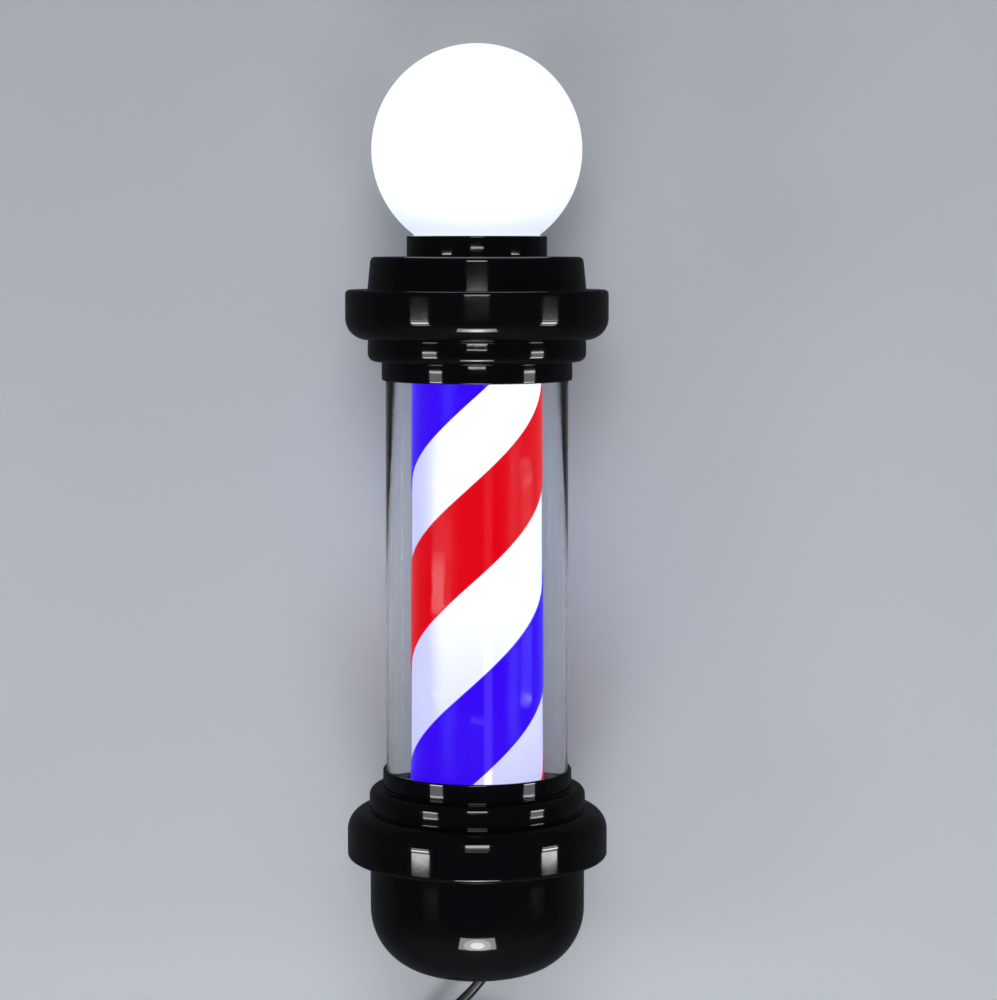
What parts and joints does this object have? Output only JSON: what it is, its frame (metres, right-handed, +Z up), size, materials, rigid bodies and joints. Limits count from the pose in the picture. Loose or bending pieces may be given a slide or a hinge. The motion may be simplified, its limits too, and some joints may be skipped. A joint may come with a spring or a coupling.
{
  "type": "barber pole light",
  "caption": "Wall-hung barber pole light: a lit opal globe over a clear tube in which a striped cylinder turns, between two stepped black caps.",
  "frame": {"origin": "centre of the four wall-screw holes, in the plane of the wall", "axes": "+Z up along the pole, +Y into the wall, so the front faces -Y"},
  "size_m": [0.201, 0.2255, 0.9512],
  "materials": {
    "black_gloss": "high gloss",
    "black_satin": "satin",
    "opal": "opal, lit from inside",
    "clear": "clear acrylic",
    "white_sleeve": "translucent, lit from inside",
    "red_film": "translucent film",
    "blue_film": "translucent film",
    "white_plastic": "moulded",
    "natural_plastic": "natural acetal",
    "zinc_steel": "zinc plated",
    "aluminium": "extruded",
    "black_rubber": "moulded",
    "clear_rubber": "silicone",
    "black_pvc": "extruded sheath",
    "nickel": "plated brass",
    "black_steel": "black oxide"
  },
  "bodies": {
    "root": {"globe": "opal", "globe_gasket": "clear_rubber", "globe_gallery": "black_gloss", "gallery_screws": "zinc_steel", "bulb_diffuser": "opal", "bulb_base": "white_plastic", "lampholder": "white_plastic", "lampholder_screws": "zinc_steel", "lid": "black_gloss", "lid_screws": "black_steel", "upper_housing": "black_gloss", "upper_deck": "zinc_steel", "upper_seal": "black_rubber", "clear_tube": "clear", "lower_seal": "black_rubber", "lower_housing": "black_gloss", "lower_deck": "zinc_steel", "deck_screws": "zinc_steel", "dome": "black_gloss", "dome_screws": "black_steel", "centre_pipe": "zinc_steel", "pipe_nuts": "zinc_steel", "led_spine": "aluminium", "led_strips": "white_plastic", "thrust_collar": "zinc_steel", "collar_screw": "zinc_steel", "motor_body": "zinc_steel", "motor_screws": "zinc_steel", "motor_nuts": "zinc_steel", "led_driver": "white_plastic", "terminal_block": "white_plastic", "tray_screws": "zinc_steel", "light_switch": "black_satin", "motor_switch": "black_satin", "cord_gland": "black_rubber", "gland_nut": "black_satin", "power_cord": "black_pvc", "cord_coil": "black_pvc", "cord_tie": "black_satin", "plug": "black_rubber", "plug_pins": "nickel", "upper_bracket": "zinc_steel", "lower_bracket": "zinc_steel", "bracket_screws": "zinc_steel"},
    "striped_cylinder": {"stripe_sleeve": "white_sleeve", "red_stripe": "red_film", "blue_stripe": "blue_film", "upper_hub": "black_satin", "lower_hub": "black_satin", "upper_bush": "natural_plastic", "lower_bush": "natural_plastic", "drive_gear": "natural_plastic", "gear_screws": "zinc_steel"},
    "motor_drive": {"motor_shaft": "zinc_steel", "motor_pinion": "natural_plastic"},
    "light_rocker": {"light_rocker": "black_satin"},
    "motor_rocker": {"motor_rocker": "black_satin"}
  },
  "joints": [
    {"name": "cylinder_spin", "type": "hinge", "parent": "root", "child": "striped_cylinder", "pos_m": [0, -0.125, 0], "axis": [0, 0, 1], "continuous": true},
    {"name": "pinion_spin", "type": "hinge", "parent": "root", "child": "motor_drive", "pos_m": [-0.04, -0.125, -0.164], "axis": [0, 0, 1], "continuous": true},
    {"name": "light_rocker_tip", "type": "hinge", "parent": "root", "child": "light_rocker", "pos_m": [-0.013, -0.0395, -0.237], "axis": [0, 0, 1], "range_deg": [0, 20]},
    {"name": "motor_rocker_tip", "type": "hinge", "parent": "root", "child": "motor_rocker", "pos_m": [0.013, -0.0395, -0.237], "axis": [0, 0, 1], "range_deg": [0, 20]}
  ],
  "couplings": [
    {"joint": "pinion_spin", "follows": "cylinder_spin", "ratio": -3}
  ]
}
